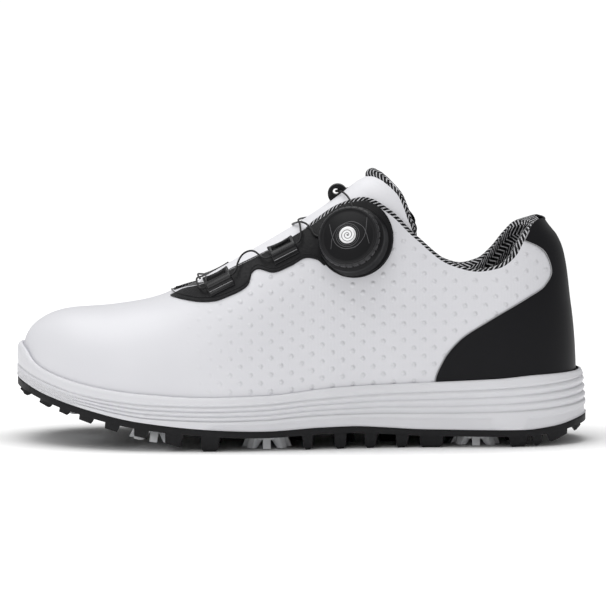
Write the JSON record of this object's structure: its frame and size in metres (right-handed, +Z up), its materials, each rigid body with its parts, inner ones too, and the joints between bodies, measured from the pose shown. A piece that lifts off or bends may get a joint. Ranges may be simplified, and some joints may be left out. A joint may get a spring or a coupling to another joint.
{
  "type": "golf shoe",
  "caption": "Left low golf shoe: smooth white upper, knit collar, turning dial that tightens a steel lace, ribbed foam midsole, black lugged outsole with soft cleats.",
  "frame": {"origin": "middle of the shoe's length and width, on the ground", "axes": "+Z up, +X from the toe to the heel, +Y from the lateral side with the dial to the medial side"},
  "size_m": [0.3, 0.1096, 0.1432],
  "materials": {
    "microfibre_white": "smooth coated microfibre with a soft sheen",
    "microfibre_black": "smooth black film-coated microfibre",
    "stiffener": "thermoformed fibre sheet",
    "lining_fabric": "brushed tricot lining",
    "knit": "black and white zigzag knit",
    "foam": "open-cell foam",
    "board": "fibre board",
    "sockliner": "knit over moulded foam",
    "midsole_foam": "moulded foam, satin skin",
    "shank": "glass-filled nylon",
    "outsole_rubber": "moulded rubber",
    "cleat_plastic": "translucent grey soft plastic",
    "receptacle": "nylon",
    "guide_plastic": "moulded black plastic",
    "lace_steel": "black coated stranded steel cable",
    "dial_plastic": "moulded black nylon",
    "dial_rubber": "overmoulded grip rubber",
    "medallion_metal": "turned, spiral brushed",
    "screw_steel": "zinc plated"
  },
  "bodies": {
    "shoe": {"cleat_lateral_ball": "cleat_plastic", "cleat_lateral_front": "cleat_plastic", "cleat_lateral_heel": "cleat_plastic", "cleat_medial_ball": "cleat_plastic", "cleat_medial_front": "cleat_plastic", "cleat_medial_heel": "cleat_plastic", "cleat_toe": "cleat_plastic", "collar_foam": "foam", "collar_lining": "knit", "dial_flange": "dial_plastic", "dial_housing": "dial_plastic", "heel_counter": "stiffener", "heel_foxing": "microfibre_black", "heel_lining": "lining_fabric", "insole_board": "board", "lace": "lace_steel", "lateral_eyestay": "microfibre_black", "lateral_guide_front": "guide_plastic", "lateral_guide_rear": "guide_plastic", "lateral_lining": "lining_fabric", "medial_eyestay": "microfibre_black", "medial_guide_front": "guide_plastic", "medial_guide_rear": "guide_plastic", "medial_guide_upper": "guide_plastic", "medial_lining": "lining_fabric", "midsole": "midsole_foam", "outsole": "outsole_rubber", "receptacle_lateral_ball": "receptacle", "receptacle_lateral_front": "receptacle", "receptacle_lateral_heel": "receptacle", "receptacle_medial_ball": "receptacle", "receptacle_medial_front": "receptacle", "receptacle_medial_heel": "receptacle", "receptacle_toe": "receptacle", "shank": "shank", "sockliner": "sockliner", "toe_puff": "stiffener", "tongue": "microfibre_white", "tongue_guide": "guide_plastic", "tongue_lining": "knit", "upper_shell": "microfibre_white", "vamp_lining": "lining_fabric"},
    "release_post": {"release_post": "dial_plastic", "dial_screw": "screw_steel"},
    "knob": {"knob": "dial_plastic", "knob_grip": "dial_rubber", "pawl_disc": "dial_plastic", "medallion": "medallion_metal"},
    "spool": {"spool": "dial_plastic", "lace_winding": "lace_steel"}
  },
  "joints": [
    {"name": "dial_lift", "type": "slide", "parent": "shoe", "child": "release_post", "axis": [-0.2497, -0.8991, 0.3596], "range_m": [0, 0.0025]},
    {"name": "dial_spin", "type": "hinge", "parent": "release_post", "child": "knob", "pos_m": [0.0264, -0.03257, 0.10791], "axis": [-0.2497, -0.8991, 0.3596], "continuous": true},
    {"name": "spool_spin", "type": "hinge", "parent": "shoe", "child": "spool", "pos_m": [0.0264, -0.03257, 0.10791], "axis": [-0.2497, -0.8991, 0.3596], "continuous": true}
  ],
  "couplings": [
    {"joint": "spool_spin", "follows": "dial_spin", "ratio": 1}
  ]
}
